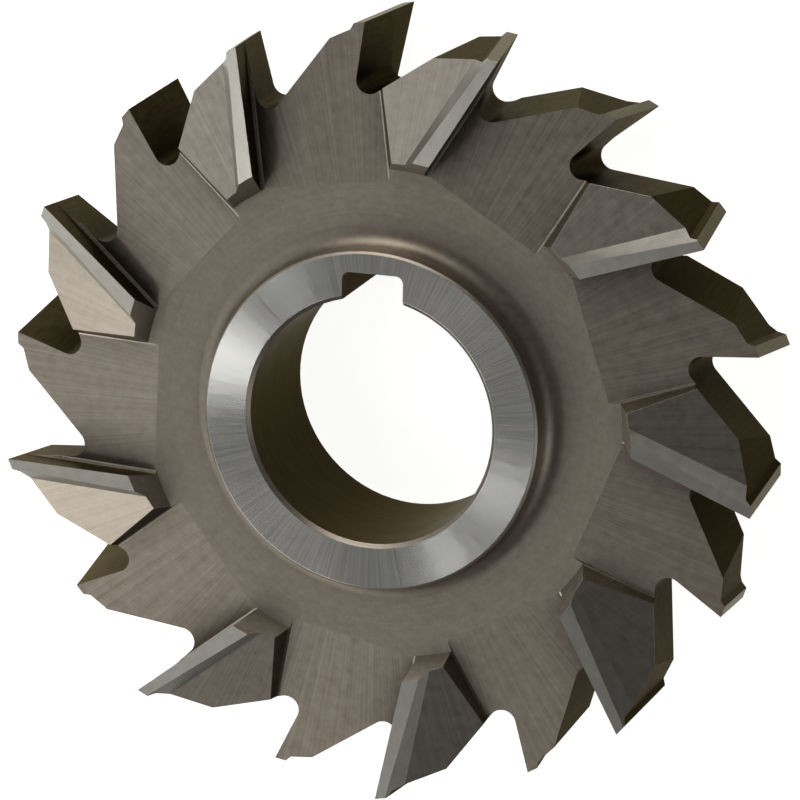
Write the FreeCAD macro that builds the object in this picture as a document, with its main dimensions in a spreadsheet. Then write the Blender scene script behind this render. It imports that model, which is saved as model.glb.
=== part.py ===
import FreeCAD, Part
import math
import os
import Sketcher

# A side and face milling cutter with staggered teeth, one piece of hardened steel.
# The axis is +Z, the keyway points to +Y and the origin is on the axis at the lower hub face.
# The teeth lean alternately to the right and to the left. The right leaning ones cut on the
# upper side and the left leaning ones on the lower side, where each has a ground side edge.
# On the other side the tooth is gashed away, which clears the chips of the side edge behind it.

# Driving dimensions, in millimetres and degrees
drivingSizes = {
    "cutter_diameter": 100,  # over the tooth tips
    "tooth_width": 19.4,  # over the side edges of both hands
    "teeth_per_hand": 9,
    "blank_stock": 0.5,  # left on the blank's rim for the grinding of the lands
    "cut_overrun": 2,  # how far every cut runs past the metal
    "hub_width": 20,
    "hub_wall": 6,  # between the bore and the outside of the hub
    "hub_chamfer": 0.3,
    "hub_foot_radius": 2.3,
    "bore_diameter": 32,
    "bore_chamfer": 0.5,
    "keyway_width": 8,
    "keyway_depth": 3.2,  # of the key's seat beyond the bore
    "keyway_corner_radius": 1,
    "key_to_tooth_angle": 3.4,  # from the keyway to the next left leaning tooth
    "web_thickness": 12,
    "recess_diameter": 63.7,  # at the foot of the recess wall
    "recess_wall_angle": 31.9,  # from the axis
    "helix_angle": 7.5,
    "rake_angle": 9,
    "rake_length": 10.8,  # from the tip down to the sharp root of the flute
    "flute_angle": 50.3,
    "flute_root_radius": 1.75,
    "land_width": 1.5,
    "land_relief_angle": 7.75,
    "land_step_height": 0.96,
    "land_step_angle": 60,
    "clearance_angle": 22.5,
    "next_tip_gap": 3.8,  # kept by the clearance cut from the tip of the tooth behind
    "side_edge_angle": 14.8,  # between the side edge and the radius through the tip
    "gash_start": 29.9,  # from the axis to the line where the gash leaves the web
    "gash_slope": 4.5,  # falls outwards
    "gash_width": 17.4,
    "gash_wall_angle": 26,
    "gash_corner_radius": 0.5,
    "side_land_relief_angle": 5,
    "side_step_setback": 2.87,  # from the side edge back to the foot of the step
    "side_step_depth": 1.3,  # below the side edge, at the start of the gash
    "side_step_angle": 55,
    "side_relief_angle": 13.8,
    "side_relief_slope": 3.5,  # falls outwards
    "side_relief_reach": 13.5,
}

doc = FreeCAD.newDocument("side_and_face_cutter")
sheet = doc.addObject("Spreadsheet::Sheet", "Sizes")
for row, (alias, size) in enumerate(drivingSizes.items(), start=1):
    sheet.set(f"A{row}", alias)
    sheet.set(f"B{row}", str(size))
    sheet.setAlias(f"B{row}", alias)
doc.recompute()

body = doc.addObject("PartDesign::Body", "cutter_body")
body.Label = "cutter_body"

# Expressions that several features share
tipRadius = "(Sizes.cutter_diameter / 2)"
halfHub = "(Sizes.hub_width / 2)"
halfTooth = "(Sizes.tooth_width / 2)"
halfWeb = "(Sizes.web_thickness / 2)"
boreRadius = "(Sizes.bore_diameter / 2)"
hubRadius = f"({boreRadius} + Sizes.hub_wall)"
toothPitch = "(180 / Sizes.teeth_per_hand)"
topOfCut = f"({halfHub} + Sizes.cut_overrun)"

sameSpot = 1e-4  # mm, two points or radii nearer than this are the same
leastCut = 1  # mm3, every cut has to remove more than this
fullTurn = 360


def originFeature(role):
    return next(item for item in body.Origin.OriginFeatures if item.Role == role)


def addSketch(name, planeRole, turnAxis, turn, baseX="0", baseZ="0"):
    sketch = body.newObject("Sketcher::SketchObject", name)
    sketch.AttachmentSupport = [(originFeature(planeRole), "")]
    sketch.MapMode = "FlatFace"
    sketch.AttachmentOffset = FreeCAD.Placement(FreeCAD.Vector(), FreeCAD.Rotation(turnAxis, 1))
    sketch.setExpression("AttachmentOffset.Rotation.Angle", turn)
    sketch.setExpression("AttachmentOffset.Base.x", baseX)
    sketch.setExpression("AttachmentOffset.Base.z", baseZ)
    return sketch


# Holds a point of the sketch at two expressions
def pinPoint(sketch, geometry, end, across, up):
    for kind, text in (("DistanceX", across), ("DistanceY", up)):
        size = sketch.evalExpression(text)
        number = sketch.addConstraint(Sketcher.Constraint(kind, geometry, end, size))
        sketch.setExpression(f"Constraints[{number}]", text)


# Rounds one corner: an arc tangent to both lines, whose sharp corner stays as a marked point
def roundCorner(sketch, lineIn, lineOut, corner, middle, radius):
    start = sketch.getPoint(lineIn, 2)
    arc = sketch.addGeometry(Part.Arc(start, middle, sketch.getPoint(lineOut, 1)), False)
    ends = (1, 2) if sketch.getPoint(arc, 1).isEqual(start, sameSpot) else (2, 1)
    sketch.addConstraint(Sketcher.Constraint("Tangent", lineIn, 2, arc, ends[0]))
    sketch.addConstraint(Sketcher.Constraint("Tangent", lineOut, 1, arc, ends[1]))
    number = sketch.addConstraint(Sketcher.Constraint("Radius", arc, sketch.evalExpression(radius)))
    sketch.setExpression(f"Constraints[{number}]", radius)
    mark = sketch.addGeometry(Part.Point(corner), True)
    sketch.addConstraint(Sketcher.Constraint("PointOnObject", mark, 1, lineIn))
    sketch.addConstraint(Sketcher.Constraint("PointOnObject", mark, 1, lineOut))
    return mark


# Draws a closed outline. A corner is its two expressions, and a third where it is rounded.
def drawOutline(sketch, corners):
    spots, radii = [], []
    for across, up, *rounding in corners:
        spots.append(FreeCAD.Vector(sketch.evalExpression(across), sketch.evalExpression(up)))
        radii.append(sketch.evalExpression(rounding[0]) if rounding else 0)
    starts, ends, middles = [], [], []
    for place, (spot, radius) in enumerate(zip(spots, radii)):
        back = (spots[place - 1] - spot).normalize()
        ahead = (spots[(place + 1) % len(spots)] - spot).normalize()
        half = back.getAngle(ahead) / 2
        inward = (back + ahead).normalize()
        ends.append(spot + back * (radius / math.tan(half)))
        starts.append(spot + ahead * (radius / math.tan(half)))
        middles.append(spot + inward * (radius / math.sin(half) - radius))
    for start, end in zip(starts, ends[1:] + ends[:1]):
        sketch.addGeometry(Part.LineSegment(start, end), False)
    for place, corner in enumerate(corners):
        lineIn = (place - 1) % len(corners)
        if len(corner) > 2:
            mark = roundCorner(sketch, lineIn, place, spots[place], middles[place], corner[2])
            pinPoint(sketch, mark, 1, *corner[:2])
        else:
            sketch.addConstraint(Sketcher.Constraint("Coincident", lineIn, 2, place, 1))
            pinPoint(sketch, place, 1, *corner)


# Cuts a sketch's outline out along a direction and makes sure that metal was removed
def cutAlong(name, sketch, direction, length, sides):
    pocket = body.newObject("PartDesign::Pocket", name)
    pocket.Profile = sketch
    pocket.UseCustomVector = True
    for axis, text in zip("xyz", direction):
        pocket.setExpression(f"Direction.{axis}", text)
    pocket.SideType = sides
    pocket.setExpression("Length", length)
    doc.recompute()
    if pocket.BaseFeature.Shape.Volume - pocket.Shape.Volume < leastCut:
        raise RuntimeError(f"{name} removed no metal")
    return pocket


# Names of the full circles of one radius at two mirrored heights
def circleEdges(shape, radius, height):
    names = []
    for number, edge in enumerate(shape.Edges, start=1):
        if edge.Curve.TypeId != "Part::GeomCircle":
            continue
        sameRadius = abs(edge.Curve.Radius - radius) < sameSpot
        if sameRadius and abs(abs(edge.Curve.Center.z) - height) < sameSpot:
            names.append(f"Edge{number}")
    return names


# Turned blank
def addBlank():
    rimRadius = f"{tipRadius} + Sizes.blank_stock"
    recessFoot = "Sizes.recess_diameter / 2"
    recessTop = f"{recessFoot} + ({halfHub} - {halfWeb}) * tan(Sizes.recess_wall_angle)"
    upper = [
        (rimRadius, halfHub),
        (recessTop, halfHub),
        (recessFoot, halfWeb),
        (hubRadius, halfWeb, "Sizes.hub_foot_radius"),
        (hubRadius, halfHub),
        (boreRadius, halfHub),
    ]
    lower = [(corner[0], "-" + corner[1], *corner[2:]) for corner in reversed(upper)]
    sketch = addSketch("blank_section", "XZ_Plane", FreeCAD.Vector(0, 1, 0), "0")
    drawOutline(sketch, upper + lower)
    blank = body.newObject("PartDesign::Revolution", "blank")
    blank.Profile = sketch
    blank.ReferenceAxis = (originFeature("Z_Axis"), [""])
    blank.Angle = fullTurn
    doc.recompute()
    for name, radius, size in (
        ("bore_chamfers", boreRadius, "Sizes.bore_chamfer"),
        ("hub_chamfers", hubRadius, "Sizes.hub_chamfer"),
    ):
        before = body.Tip
        rims = circleEdges(before.Shape, sketch.evalExpression(radius), sheet.hub_width / 2)
        chamfer = body.newObject("PartDesign::Chamfer", name)
        chamfer.Base = (before, rims)
        chamfer.setExpression("Size", size)
        doc.recompute()


# Keyway through the bore wall
def addKeyway():
    seat = f"{boreRadius} + Sizes.keyway_depth"
    sketch = addSketch("keyway_outline", "XY_Plane", FreeCAD.Vector(0, 0, 1), "0")
    drawOutline(sketch, [
        ("Sizes.keyway_width / 2", "Sizes.keyway_width / 2"),
        ("Sizes.keyway_width / 2", seat, "Sizes.keyway_corner_radius"),
        ("-Sizes.keyway_width / 2", seat, "Sizes.keyway_corner_radius"),
        ("-Sizes.keyway_width / 2", "Sizes.keyway_width / 2"),
    ])
    cutAlong("keyway", sketch, ("0", "0", "1"), f"2 * {topOfCut}", "Symmetric")


# The teeth of one hand. In a tooth's own outline x runs ahead of the tooth and y outwards.
# In its side outlines x runs square to the rake face and y along the axis.
def addTeeth(hand, lean, toothAngle):
    runOut = f"{lean} * tan(Sizes.helix_angle)"
    alongTooth = (f"{runOut} * sin({toothAngle})", f"-1 * {runOut} * cos({toothAngle})", "1")
    fluteLength = f"2 * {topOfCut} / cos(Sizes.helix_angle)"
    outside = f"({tipRadius} + Sizes.blank_stock + Sizes.cut_overrun)"

    # Flute: the rake face, the rounded root and the back of the tooth ahead
    rootX = "(-Sizes.rake_length * sin(Sizes.rake_angle))"
    rootY = f"({tipRadius} - Sizes.rake_length * cos(Sizes.rake_angle))"
    backRun = f"({outside} - {rootY}) * tan(Sizes.rake_angle + Sizes.flute_angle)"
    turn = f"{toothAngle} - 90"
    fluteSketch = addSketch(f"{hand}_flute_outline", "XY_Plane", FreeCAD.Vector(0, 0, 1), turn)
    drawOutline(fluteSketch, [
        (rootX, rootY, "Sizes.flute_root_radius"),
        (f"{rootX} + {backRun}", outside),
        (f"({outside} - {tipRadius}) * tan(Sizes.rake_angle)", outside),
    ])
    flute = cutAlong(f"{hand}_flute", fluteSketch, alongTooth, fluteLength, "Symmetric")

    # Tooth top: the ground land, the small step behind it and the clearance
    landX = "(-Sizes.land_width * cos(Sizes.land_relief_angle))"
    landY = f"({tipRadius} - Sizes.land_width * sin(Sizes.land_relief_angle))"
    stepX = f"({landX} - Sizes.land_step_height * cos(Sizes.land_step_angle))"
    stepY = f"({landY} - Sizes.land_step_height * sin(Sizes.land_step_angle))"
    heelX = f"(Sizes.next_tip_gap - 2 * {tipRadius} * sin({toothPitch} / 2))"
    heelY = f"({stepY} + ({heelX} - {stepX}) * tan(Sizes.clearance_angle))"
    topSketch = addSketch(f"{hand}_top_outline", "XY_Plane", FreeCAD.Vector(0, 0, 1), turn)
    drawOutline(topSketch, [
        ("Sizes.cut_overrun", f"{tipRadius} + Sizes.cut_overrun * tan(Sizes.land_relief_angle)"),
        ("Sizes.cut_overrun", outside),
        (heelX, outside),
        (heelX, heelY),
        (stepX, stepY),
        (landX, landY),
    ])
    toothTop = cutAlong(f"{hand}_tooth_top", topSketch, alongTooth, fluteLength, "Symmetric")

    # Side cuts start clear of the hub's foot and run outwards, square to the sketch
    faceAngle = f"({toothAngle} - Sizes.side_edge_angle)"
    sideStart = f"({hubRadius} + Sizes.hub_foot_radius + Sizes.cut_overrun)"
    faceLean = "tan(Sizes.helix_angle) * cos(Sizes.side_edge_angle)"
    toGashStart = f"(Sizes.gash_start - {sideStart})"
    edgeX = f"({halfTooth} * {faceLean} - {tipRadius} * sin(Sizes.side_edge_angle))"

    def sideCut(name, corners, dip, drift):
        startX = f"{sideStart} * cos{faceAngle}"
        startY = f"-{sideStart} * sin{faceAngle}"
        sketch = addSketch(f"{hand}_{name}_outline", "XZ_Plane", FreeCAD.Vector(0, 1, 0),
                           f"{faceAngle} - 90", startX, startY)
        drawOutline(sketch, [(across, f"{lean} * {up}", *rounding) for across, up, *rounding in corners])
        outwards = (f"cos{faceAngle} - ({drift}) * sin{faceAngle}",
                    f"sin{faceAngle} + ({drift}) * cos{faceAngle}",
                    f"-{lean} * {dip}")
        return cutAlong(f"{hand}_{name}", sketch, outwards, tipRadius, "One side")

    # Gash: the rake face of the side edge, a floor that falls outwards and a sloping wall ahead
    gashFall = "tan(Sizes.gash_slope)"
    floorY = f"({halfWeb} + {toGashStart} * {gashFall})"
    floorX = f"({floorY} * {faceLean} - {tipRadius} * sin(Sizes.side_edge_angle))"
    wallX = f"({floorX} + Sizes.gash_width)"
    gash = sideCut("gash", [
        (floorX, floorY, "Sizes.gash_corner_radius"),
        (wallX, floorY, "Sizes.gash_corner_radius"),
        (f"{wallX} + ({topOfCut} - {floorY}) * tan(Sizes.gash_wall_angle)", topOfCut),
        (f"{floorX} + ({topOfCut} - {floorY}) * {faceLean}", topOfCut),
    ], gashFall, f"{gashFall} * {faceLean}")

    # Side land: the narrow ground strip behind the side edge
    backX = f"({edgeX} - Sizes.side_relief_reach)"
    landRise = "tan(Sizes.side_land_relief_angle)"
    sideLand = sideCut("side_land", [
        (f"{edgeX} + Sizes.cut_overrun", f"({halfTooth} + Sizes.cut_overrun * {landRise})"),
        (f"{edgeX} + Sizes.cut_overrun", topOfCut),
        (backX, topOfCut),
        (backX, f"({halfTooth} - Sizes.side_relief_reach * {landRise})"),
    ], "0", "0")

    # Side relief: the step behind the side land and the steeper face down to the tooth's back
    reliefFall = "tan(Sizes.side_relief_slope)"
    footX = f"({edgeX} - Sizes.side_step_setback)"
    footY = f"({halfTooth} - Sizes.side_step_depth + {toGashStart} * {reliefFall})"
    sideRelief = sideCut("side_relief", [
        (footX, footY),
        (f"{footX} + ({topOfCut} - {footY}) / tan(Sizes.side_step_angle)", topOfCut),
        (backX, topOfCut),
        (backX, f"({footY} - ({footX} - {backX}) * tan(Sizes.side_relief_angle))"),
    ], reliefFall, "0")

    teeth = body.newObject("PartDesign::PolarPattern", f"{hand}_teeth")
    teeth.Originals = [flute, toothTop, gash, sideLand, sideRelief]
    teeth.Axis = (originFeature("Z_Axis"), [""])
    teeth.Angle = fullTurn
    teeth.setExpression("Occurrences", "Sizes.teeth_per_hand")
    body.Tip = teeth
    doc.recompute()


addBlank()
addKeyway()
addTeeth("left", "-1", "(90 + Sizes.key_to_tooth_angle)")
addTeeth("right", "1", f"(90 + Sizes.key_to_tooth_angle + {toothPitch})")
body.setExpression("Placement.Base.z", halfHub)
doc.recompute()

for item in doc.Objects:
    if "Invalid" in item.State or "Error" in item.State:
        raise RuntimeError(f"{item.Name} failed: {item.State}")
if body.Shape.isNull() or not body.Shape.isValid() or len(body.Shape.Solids) != 1:
    raise RuntimeError("cutter_body is not one valid solid")

os.makedirs("parts", exist_ok=True)
body.Shape.exportStep(f"parts/{body.Label}.step")
print("volume", round(body.Shape.Volume, 1), "faces", len(body.Shape.Faces), body.Shape.BoundBox)
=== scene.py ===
import bpy
import math
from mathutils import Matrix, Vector


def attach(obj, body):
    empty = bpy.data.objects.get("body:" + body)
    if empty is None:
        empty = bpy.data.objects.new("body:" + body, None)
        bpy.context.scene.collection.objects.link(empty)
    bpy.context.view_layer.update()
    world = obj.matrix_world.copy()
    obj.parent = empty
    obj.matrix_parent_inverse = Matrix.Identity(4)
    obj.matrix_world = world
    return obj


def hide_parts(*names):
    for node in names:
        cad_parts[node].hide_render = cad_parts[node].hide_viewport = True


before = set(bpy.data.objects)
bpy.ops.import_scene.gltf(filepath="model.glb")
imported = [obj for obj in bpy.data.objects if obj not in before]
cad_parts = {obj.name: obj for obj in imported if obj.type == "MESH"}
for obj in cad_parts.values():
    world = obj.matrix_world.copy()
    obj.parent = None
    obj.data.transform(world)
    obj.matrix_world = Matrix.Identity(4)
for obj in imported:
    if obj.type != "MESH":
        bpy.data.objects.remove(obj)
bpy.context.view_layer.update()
scene = bpy.context.scene
print("frame loaded:", sorted(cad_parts))


def addNode(tree, kind, **settings):
    node = tree.nodes.new(kind)
    for key, setting in settings.items():
        setattr(node, key, setting)
    return node


def plug(tree, socket, source):
    # a socket takes a link from another node's output, or a plain value
    if isinstance(source, bpy.types.NodeSocket):
        tree.links.new(source, socket)
    else:
        socket.default_value = source


def mathOf(tree, operation, first, second=0.0, clamp=False):
    node = addNode(tree, "ShaderNodeMath", operation=operation, use_clamp=clamp)
    plug(tree, node.inputs[0], first)
    plug(tree, node.inputs[1], second)
    return node.outputs[0]


def timesOf(tree, first, second, clamp=False):
    return mathOf(tree, "MULTIPLY", first, second, clamp)


def sumOf(tree, first, second):
    return mathOf(tree, "ADD", first, second)


def blendOf(tree, first, firstShare, second, secondShare):
    # two patterns added up by their shares
    return sumOf(tree, timesOf(tree, first, firstShare), timesOf(tree, second, secondShare))


def rangeOf(tree, source, fromLow, fromHigh, toLow=0.0, toHigh=1.0):
    node = addNode(tree, "ShaderNodeMapRange", clamp=True)
    for socket, given in zip(node.inputs, (source, fromLow, fromHigh, toLow, toHigh)):
        plug(tree, socket, given)
    return node.outputs[0]


def mixColours(tree, share, first, second):
    node = addNode(tree, "ShaderNodeMix", data_type="RGBA", blend_type="MIX")
    plug(tree, node.inputs[0], share)
    plug(tree, node.inputs[6], first)  # 6 and 7 are the node's two colour sockets
    plug(tree, node.inputs[7], second)
    return node.outputs[2]


def noiseOf(tree, vector, scale, detail, roughness):
    node = addNode(tree, "ShaderNodeTexNoise", noise_dimensions="3D")
    plug(tree, node.inputs["Vector"], vector)
    node.inputs["Scale"].default_value = scale
    node.inputs["Detail"].default_value = detail
    node.inputs["Roughness"].default_value = roughness
    return node.outputs["Fac"]


def dotOf(tree, first, second):
    node = addNode(tree, "ShaderNodeVectorMath", operation="DOT_PRODUCT")
    plug(tree, node.inputs[0], first)
    plug(tree, node.inputs[1], second)
    return node.outputs["Value"]


def colour(hexCode):
    # sRGB hex to the linear values that a socket takes
    parts = [int(hexCode[i:i + 2], 16) / 255 for i in (1, 3, 5)]
    return tuple(p / 12.92 if p < 0.04045 else ((p + 0.055) / 1.055) ** 2.4 for p in parts) + (1.0,)


toolMarks = {  # what all the steel finishes share
    "midReach": 38.0,  # millimetres from the axis, where marks along the radius have their nominal width
    "coarse": (1.0, 4.0, 0.65),  # scale, detail and roughness of each noise
    "fine": (3.1, 2.0, 0.5),
    "grit": (2600.0, 2.0, 0.6),
    "cloudDetail": 5.0, "cloudRoughness": 0.62,
    "edgeRange": (0.985, 0.86),  # how far the rounded normal turns from none to full wear
    "openRange": (0.55, 0.8),  # corners less open than this don't wear
    "patchRange": (0.35, 0.6), "leastWear": 0.4,  # wear comes in patches
    "satinShares": (0.5, 0.5), "satinRange": (0.35, 0.65),  # fine marks and clouds in the roughness
    "coarseHeight": 0.6, "fineHeight": 0.3,
    "raySamples": 6,
}


def layVector(tree, lay, along, across):
    # a vector that changes quickly across the tool marks and slowly along them; both are per millimetre
    place = addNode(tree, "ShaderNodeTexCoord").outputs["Object"]
    split = addNode(tree, "ShaderNodeSeparateXYZ")
    plug(tree, split.inputs[0], place)
    x, y, z = (timesOf(tree, out, 1000.0) for out in split.outputs)  # metres to millimetres
    reach = mathOf(tree, "SQRT", sumOf(tree, timesOf(tree, x, x), timesOf(tree, y, y)))
    turnX, turnY = mathOf(tree, "DIVIDE", x, reach), mathOf(tree, "DIVIDE", y, reach)
    if lay == "turned":  # marks run round the axis
        outward, roundRate = timesOf(tree, sumOf(tree, reach, z), across), along * toolMarks["midReach"]
        spots = (outward, timesOf(tree, turnX, roundRate), timesOf(tree, turnY, roundRate))
    elif lay == "radial":  # marks run outwards
        outward = timesOf(tree, mathOf(tree, "SUBTRACT", reach, z), along)
        roundRate = across * toolMarks["midReach"]
        spots = (outward, timesOf(tree, turnX, roundRate), timesOf(tree, turnY, roundRate))
    else:  # marks run along the teeth, as on the lands and in the flutes
        spots = (timesOf(tree, z, along), timesOf(tree, x, across), timesOf(tree, y, across))
    join = addNode(tree, "ShaderNodeCombineXYZ")
    for socket, spot in zip(join.inputs, spots):
        plug(tree, socket, spot)
    return join.outputs[0], place


def steel(name, look):
    # one ground, turned or milled steel: mottled colour, tool marks, bright edges and painted shade in the
    # corners
    material = bpy.data.materials.new(name)
    material.use_nodes = True
    tree = material.node_tree
    shader = tree.nodes["Principled BSDF"]
    marks, place = layVector(tree, look["lay"], look["along"], look["across"])
    coarse, fine = (noiseOf(tree, marks, *toolMarks[size]) for size in ("coarse", "fine"))
    cloud = noiseOf(tree, place, look["cloudScale"], toolMarks["cloudDetail"], toolMarks["cloudRoughness"])

    tone = blendOf(tree, coarse, look["markTone"], cloud, 1.0 - look["markTone"])
    tone = rangeOf(tree, tone, *look["toneRange"])
    base = mixColours(tree, tone, colour(look["dark"]), colour(look["light"]))

    flat = addNode(tree, "ShaderNodeNewGeometry").outputs["Normal"]
    rounded = addNode(tree, "ShaderNodeBevel", samples=toolMarks["raySamples"])
    rounded.inputs["Radius"].default_value = look["edgeWidth"]
    edge = rangeOf(tree, dotOf(tree, rounded.outputs[0], flat), *toolMarks["edgeRange"])
    nook = addNode(tree, "ShaderNodeAmbientOcclusion", samples=toolMarks["raySamples"], only_local=True)
    nook.inputs["Distance"].default_value = look["nookReach"]
    openness = nook.outputs["AO"]
    worn = timesOf(tree, edge, rangeOf(tree, openness, *toolMarks["openRange"]), clamp=True)
    leastWear = toolMarks["leastWear"] * look["wear"]
    patches = rangeOf(tree, cloud, *toolMarks["patchRange"], leastWear, look["wear"])
    base = mixColours(tree, timesOf(tree, worn, patches), base, colour(look["wornLight"]))
    # painted shade: the colour darkens towards the shade colour where ambient occlusion finds corners and
    # hollows closing in, standing in for the shadow there
    paintedShade = timesOf(tree, rangeOf(tree, openness, *look["nookRange"]), look["paintedShade"])
    base = mixColours(tree, paintedShade, base, colour(look["paintedShadeColour"]))
    plug(tree, shader.inputs["Base Color"], base)

    fineShare, cloudShare = toolMarks["satinShares"]
    satin = blendOf(tree, fine, fineShare, cloud, cloudShare)
    plug(tree, shader.inputs["Roughness"], rangeOf(tree, satin, *toolMarks["satinRange"], *look["roughness"]))
    shader.inputs["Metallic"].default_value = 1.0
    shader.inputs["Specular Tint"].default_value = colour(look["glanceTint"])
    shader.inputs["Anisotropic"].default_value = look["pull"]
    if look["pull"] > 0:
        tangent = addNode(tree, "ShaderNodeTangent", direction_type="RADIAL", axis="Z")
        plug(tree, shader.inputs["Tangent"], tangent.outputs[0])
        shader.inputs["Anisotropic Rotation"].default_value = look["pullTurn"]

    if look["bump"] > 0:
        height = blendOf(tree, coarse, toolMarks["coarseHeight"], fine, toolMarks["fineHeight"])
        grit = noiseOf(tree, place, *toolMarks["grit"])
        bump = addNode(tree, "ShaderNodeBump")
        bump.inputs["Strength"].default_value = look["bump"]
        bump.inputs["Distance"].default_value = look["markDepth"]
        plug(tree, bump.inputs["Height"], sumOf(tree, height, timesOf(tree, grit, look["grit"])))
        plug(tree, bump.inputs["Normal"], rounded.outputs[0])
        plug(tree, shader.inputs["Normal"], bump.outputs[0])
    return material


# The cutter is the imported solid, with each machined surface given its own finish.
cutter = {  # in metres; heights are from the middle plane, the rest from the axis
    "mid": 0.010,  # height of the middle plane
    "hub": 0.022,  # outside of the hub
    "hubSkin": 0.0001,  # a facet this near to the hub's outside belongs to it
    "keyway": 0.0041,  # from the keyway's middle to just past its walls
    "keywayEnd": 0.021,
    "hubFoot": 0.0243,
    "web": 0.00601,
    "landHeight": 0.0090, "stepHeight": 0.0080,
    "rim": 0.0493,
    "level": 0.99, "deadLevel": 0.9999,  # how squarely a facet faces up or down
    "upper": 0.5, "chamferTop": 0.9, "relief": 0.95, "stepTop": 0.7, "gashWallTop": 0.4,
    "recessWall": -0.7, "hubWall": 0.5, "rimLand": 0.97,  # how squarely a facet faces outwards
    "rakeFace": -0.8,  # how squarely a facet faces back round the axis
}

plain = {
    "along": 0.03, "across": 6.0,  # tool marks per millimetre along and across them
    "dark": "#8f877b", "light": "#ada498", "cloudScale": 700.0, "markTone": 0.55, "toneRange": (0.3, 0.7),
    "edgeWidth": 0.00014, "wornLight": "#d9d6ce", "wear": 0.8,
    # nookReach, nookRange and the last two settings paint shade into the colour: darker in corners and
    # hollows, where shadow falls
    "nookReach": 0.0025, "nookRange": (0.75, 0.25), "paintedShadeColour": "#2a241c", "paintedShade": 0.35,
    "roughness": (0.38, 0.5), "glanceTint": "#ffffff",
    "pull": 0.0, "pullTurn": 0.25,  # how far the marks draw a highlight out, and which way in turns
    "bump": 0.4, "grit": 0.15, "markDepth": 0.000012,
}
finishes = {  # lay says how the tool marks run: turned round the axis, radial, or along the tooth
    "groundHub": dict(plain, lay="radial", along=0.04, across=2.2,
                      dark="#b4b4af", light="#dfdeda", cloudScale=160.0, markTone=0.85, paintedShade=0.1,
                      roughness=(0.18, 0.25), pull=0.95, bump=0.05, grit=0.0, markDepth=0.000006),
    "hubWall": dict(plain, lay="turned", across=3.0, dark="#9a9084", light="#b5ada1", wear=0.3, paintedShade=0.1,
                    roughness=(0.4, 0.5), bump=0.1),
    "turnedWeb": dict(plain, lay="turned", across=3.0, cloudScale=1100.0, markTone=0.3, wear=0.4,
                      nookReach=0.004, nookRange=(0.92, 0.5), paintedShade=0.5,
                      roughness=(0.44, 0.58), pull=0.3, grit=0.6),
    "hubFoot": dict(plain, lay="turned", across=3.0, dark="#857d71", light="#a0978a", cloudScale=1100.0,
                    markTone=0.3, wear=0.2, roughness=(0.42, 0.54), grit=0.6),
    "boreWall": dict(plain, lay="turned", along=0.05, across=2.5, dark="#43392a", light="#6a5d47",
                     cloudScale=240.0, nookReach=0.02, nookRange=(0.8, 0.3), paintedShadeColour="#17120a", paintedShade=0.5,
                     roughness=(0.3, 0.46), glanceTint="#d3ccb8"),
    "milledGash": dict(plain, lay="radial", along=0.02, across=3.6, dark="#80776b", light="#b2a99c",
                       toneRange=(0.28, 0.72), edgeWidth=0.00006, wear=0.0,
                       nookReach=0.007, nookRange=(0.96, 0.5), paintedShade=0.72),
    "groundRelief": dict(plain, lay="radial", along=0.02, across=4.0, dark="#958d82", light="#b9b1a5",
                         edgeWidth=0.00008, wear=0.4, roughness=(0.27, 0.36)),
    "groundLand": dict(plain, lay="radial", along=0.02, across=3.0, dark="#aaa79e", light="#c6c3bb",
                       markTone=0.3, toneRange=(0.2, 0.8), edgeWidth=0.0, wear=0.0, paintedShade=0.0,
                       roughness=(0.28, 0.36), bump=0.0),
    "rimLand": dict(plain, lay="tooth", across=3.0, dark="#8f8059", light="#b6a77f",
                    roughness=(0.28, 0.38), bump=0.2),
    "gashWall": dict(plain, lay="tooth", across=3.0, dark="#6d6353", light="#8f8574", wear=0.0,
                     nookReach=0.006, nookRange=(0.94, 0.5), paintedShade=0.8, roughness=(0.4, 0.5)),
    "rakeFace": dict(plain, lay="tooth", across=2.5, dark="#463c24", light="#766849", wear=0.3,
                     nookReach=0.008, nookRange=(0.9, 0.45), paintedShadeColour="#1b1509", paintedShade=0.9,
                     glanceTint="#e8e0cb"),
    "milledFlute": dict(plain, lay="tooth", across=2.5, dark="#322914", light="#5a4d30", wear=0.4,
                        nookReach=0.009, nookRange=(0.94, 0.5), paintedShadeColour="#171106", paintedShade=0.94,
                        glanceTint="#e8e0cb"),
}
finishOrder = list(finishes)


def finishOf(centre, normal):
    # which machined surface a facet belongs to, from where it is and how it faces
    side = 1.0 if centre.z > cutter["mid"] else -1.0
    height, facing = side * (centre.z - cutter["mid"]), side * normal.z
    reach = math.hypot(centre.x, centre.y)
    outward = (centre.x * normal.x + centre.y * normal.y) / reach
    turned = (centre.x * normal.y - centre.y * normal.x) / reach
    if reach < cutter["hub"] and facing > cutter["upper"]:
        return "groundHub" if facing > cutter["chamferTop"] else "hubWall"
    if abs(reach - cutter["hub"]) < cutter["hubSkin"] and outward > cutter["hubWall"]:
        return "hubWall"
    if outward < 0 and reach < cutter["hub"]:
        return "boreWall"
    if abs(centre.x) < cutter["keyway"] and reach < cutter["keywayEnd"]:
        return "boreWall"
    if reach < cutter["hubFoot"]:
        return "hubFoot"
    if height < cutter["web"] and facing > cutter["deadLevel"]:
        return "turnedWeb"
    if facing > cutter["upper"]:
        if outward < cutter["recessWall"]:
            return "turnedWeb"
        if height > cutter["landHeight"] and facing > cutter["level"]:
            return "groundLand"
        if facing < cutter["stepTop"]:  # the step behind the side land, or the foot of a gash
            return "groundLand" if height > cutter["stepHeight"] else "gashWall"
        if facing > cutter["level"]:
            return "milledGash"
        return "groundRelief" if facing > cutter["relief"] else "gashWall"  # or the corner under a gash's wall
    if facing > cutter["gashWallTop"]:
        return "gashWall"
    if outward > cutter["rimLand"] and reach > cutter["rim"]:
        return "rimLand"
    return "rakeFace" if turned < cutter["rakeFace"] else "milledFlute"


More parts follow.
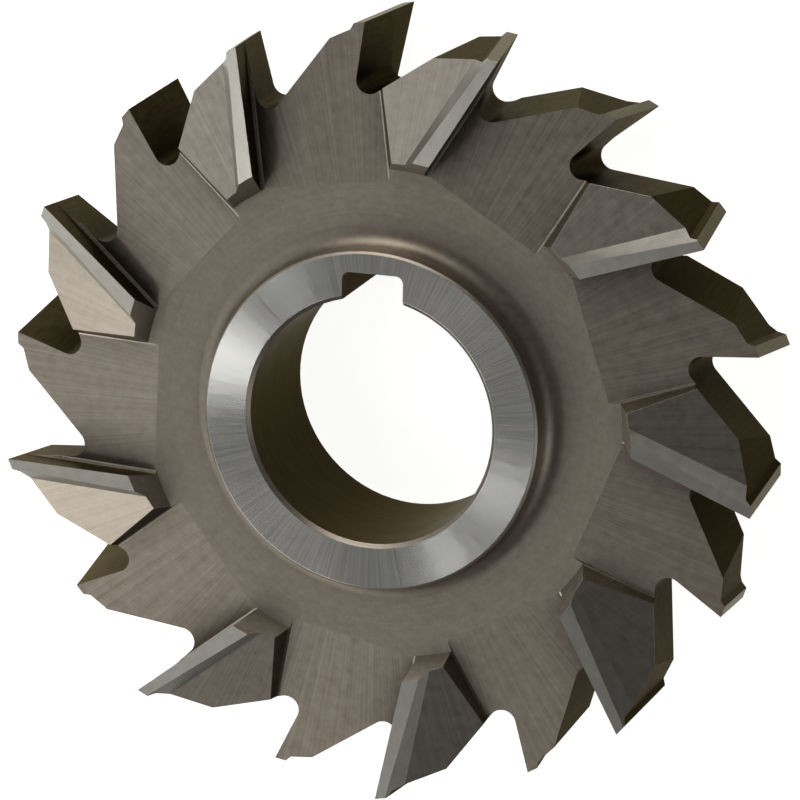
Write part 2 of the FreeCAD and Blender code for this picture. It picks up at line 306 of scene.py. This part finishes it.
def buildCutter():
    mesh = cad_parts["cutter_body"].data.copy()
    mesh.name = "cutterSteel"
    mesh.materials.clear()
    for name in finishOrder:
        mesh.materials.append(steel(name, finishes[name]))
    counts = dict.fromkeys(finishOrder, 0)
    for face in mesh.polygons:
        name = finishOf(face.center, face.normal)
        face.material_index = finishOrder.index(name)
        counts[name] += 1
    piece = bpy.data.objects.new("cutterSteel", mesh)
    scene.collection.objects.link(piece)
    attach(piece, "root")
    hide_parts("cutter_body")
    print("cutter dressed:", counts)


buildCutter()

studio = {
    "floorSize": 3.0, "floorHeight": -0.00005,
    "floorColour": "#f6f6f4", "floorRoughness": 0.9, "floorGlow": 1.0,
    "dimmest": 0.07,  # brightness of the darkest part of the surroundings
    "glows": [  # azimuth and elevation of a bright side, its brightness and how tightly it is gathered
        (183.0, -16.0, 0.85, 3.0),
        (298.0, -52.0, 0.16, 5.0),
    ],
    "lights": [  # name, azimuth, elevation and the half angle it covers, distance, brightness, colour
        ("keySoftbox", 228.0, 28.0, 17.0, 0.9, 1.6, "#fffaf4"),
        ("leftWindow", 202.5, 58.5, 3.0, 0.55, 9.5, "#ffffff"),
        ("frontWindow", 250.0, 60.0, 1.8, 0.9, 12.0, "#ffffff"),
        ("leftFill", 165.0, 45.0, 18.0, 0.9, 0.45, "#ffffff"),
        ("farReflector", 100.0, 13.0, 21.0, 0.9, 2.6, "#fffaf4"),
        ("backFill", 340.0, 12.0, 14.0, 0.9, 1.4, "#ffffff"),
    ],
}
photoCamera = {  # fitted to the photograph
    "place": (0.21510509, 0.19555857, 0.67124717),  # metres
    "turn": (-15.27350626, 18.30724257, 1.31122738),  # degrees
    "sensor": 36.0, "lens": 255.718,  # millimetres
}


def buildFloor():
    half, low = studio["floorSize"] / 2, studio["floorHeight"]
    corners = [(-half, -half, low), (half, -half, low), (half, half, low), (-half, half, low)]
    mesh = bpy.data.meshes.new("studioFloor")
    mesh.from_pydata(corners, [], [(0, 1, 2, 3)])
    floor = bpy.data.objects.new("studioFloor", mesh)
    scene.collection.objects.link(floor)
    material = bpy.data.materials.new("palePaper")
    material.use_nodes = True
    shader = material.node_tree.nodes["Principled BSDF"]
    shader.inputs["Base Color"].default_value = colour(studio["floorColour"])
    shader.inputs["Roughness"].default_value = studio["floorRoughness"]
    shader.inputs["Emission Color"].default_value = colour(studio["floorColour"])
    shader.inputs["Emission Strength"].default_value = studio["floorGlow"]
    mesh.materials.append(material)
    floor.visible_glossy = False  # the steel mirrors only the lights and the surroundings
    floor.visible_diffuse = False
    floor.visible_shadow = False
    print("floor laid")


def skyward(azimuth, elevation):
    a, e = math.radians(azimuth), math.radians(elevation)
    return Vector((math.cos(a) * math.cos(e), math.sin(a) * math.cos(e), math.sin(e)))


def buildSurroundings():
    world = bpy.data.worlds.new("studioWorld")
    world.use_nodes = True
    tree = world.node_tree
    direction = addNode(tree, "ShaderNodeTexCoord").outputs["Generated"]
    shade = studio["dimmest"]
    for azimuth, elevation, brightness, gathering in studio["glows"]:
        towards = dotOf(tree, direction, skyward(azimuth, elevation))
        glow = mathOf(tree, "POWER", rangeOf(tree, towards, -1.0, 1.0), gathering)
        shade = sumOf(tree, timesOf(tree, glow, brightness), shade)
    background = tree.nodes["Background"]
    plug(tree, background.inputs["Strength"], shade)
    background.inputs["Color"].default_value = (1, 1, 1, 1)
    scene.world = world
    print("surroundings set")


def buildLights():
    middle = Vector((0, 0, cutter["mid"]))
    for name, azimuth, elevation, halfAngle, distance, brightness, tint in studio["lights"]:
        radius = distance * math.tan(math.radians(halfAngle))
        lamp = bpy.data.lights.new(name, "AREA")
        lamp.shape = "DISK"
        lamp.size = 2 * radius
        lamp.energy = brightness * math.pi * math.pi * radius ** 2  # a disk of this radiance
        lamp.color = colour(tint)[:3]
        holder = bpy.data.objects.new(name, lamp)
        holder.location = middle + distance * skyward(azimuth, elevation)
        holder.rotation_euler = (middle - holder.location).to_track_quat("-Z", "Y").to_euler()
        scene.collection.objects.link(holder)
    print("lights hung:", len(studio["lights"]))


def buildCamera():
    lens = bpy.data.cameras.new("photoCamera")
    lens.sensor_width = photoCamera["sensor"]
    lens.lens = photoCamera["lens"]
    camera = bpy.data.objects.new("photoCamera", lens)
    camera.location = photoCamera["place"]
    camera.rotation_euler = [math.radians(angle) for angle in photoCamera["turn"]]
    scene.collection.objects.link(camera)
    scene.camera = camera
    print("camera placed")


buildFloor()
buildSurroundings()
buildLights()
buildCamera()
scene.view_settings.view_transform = "Standard"
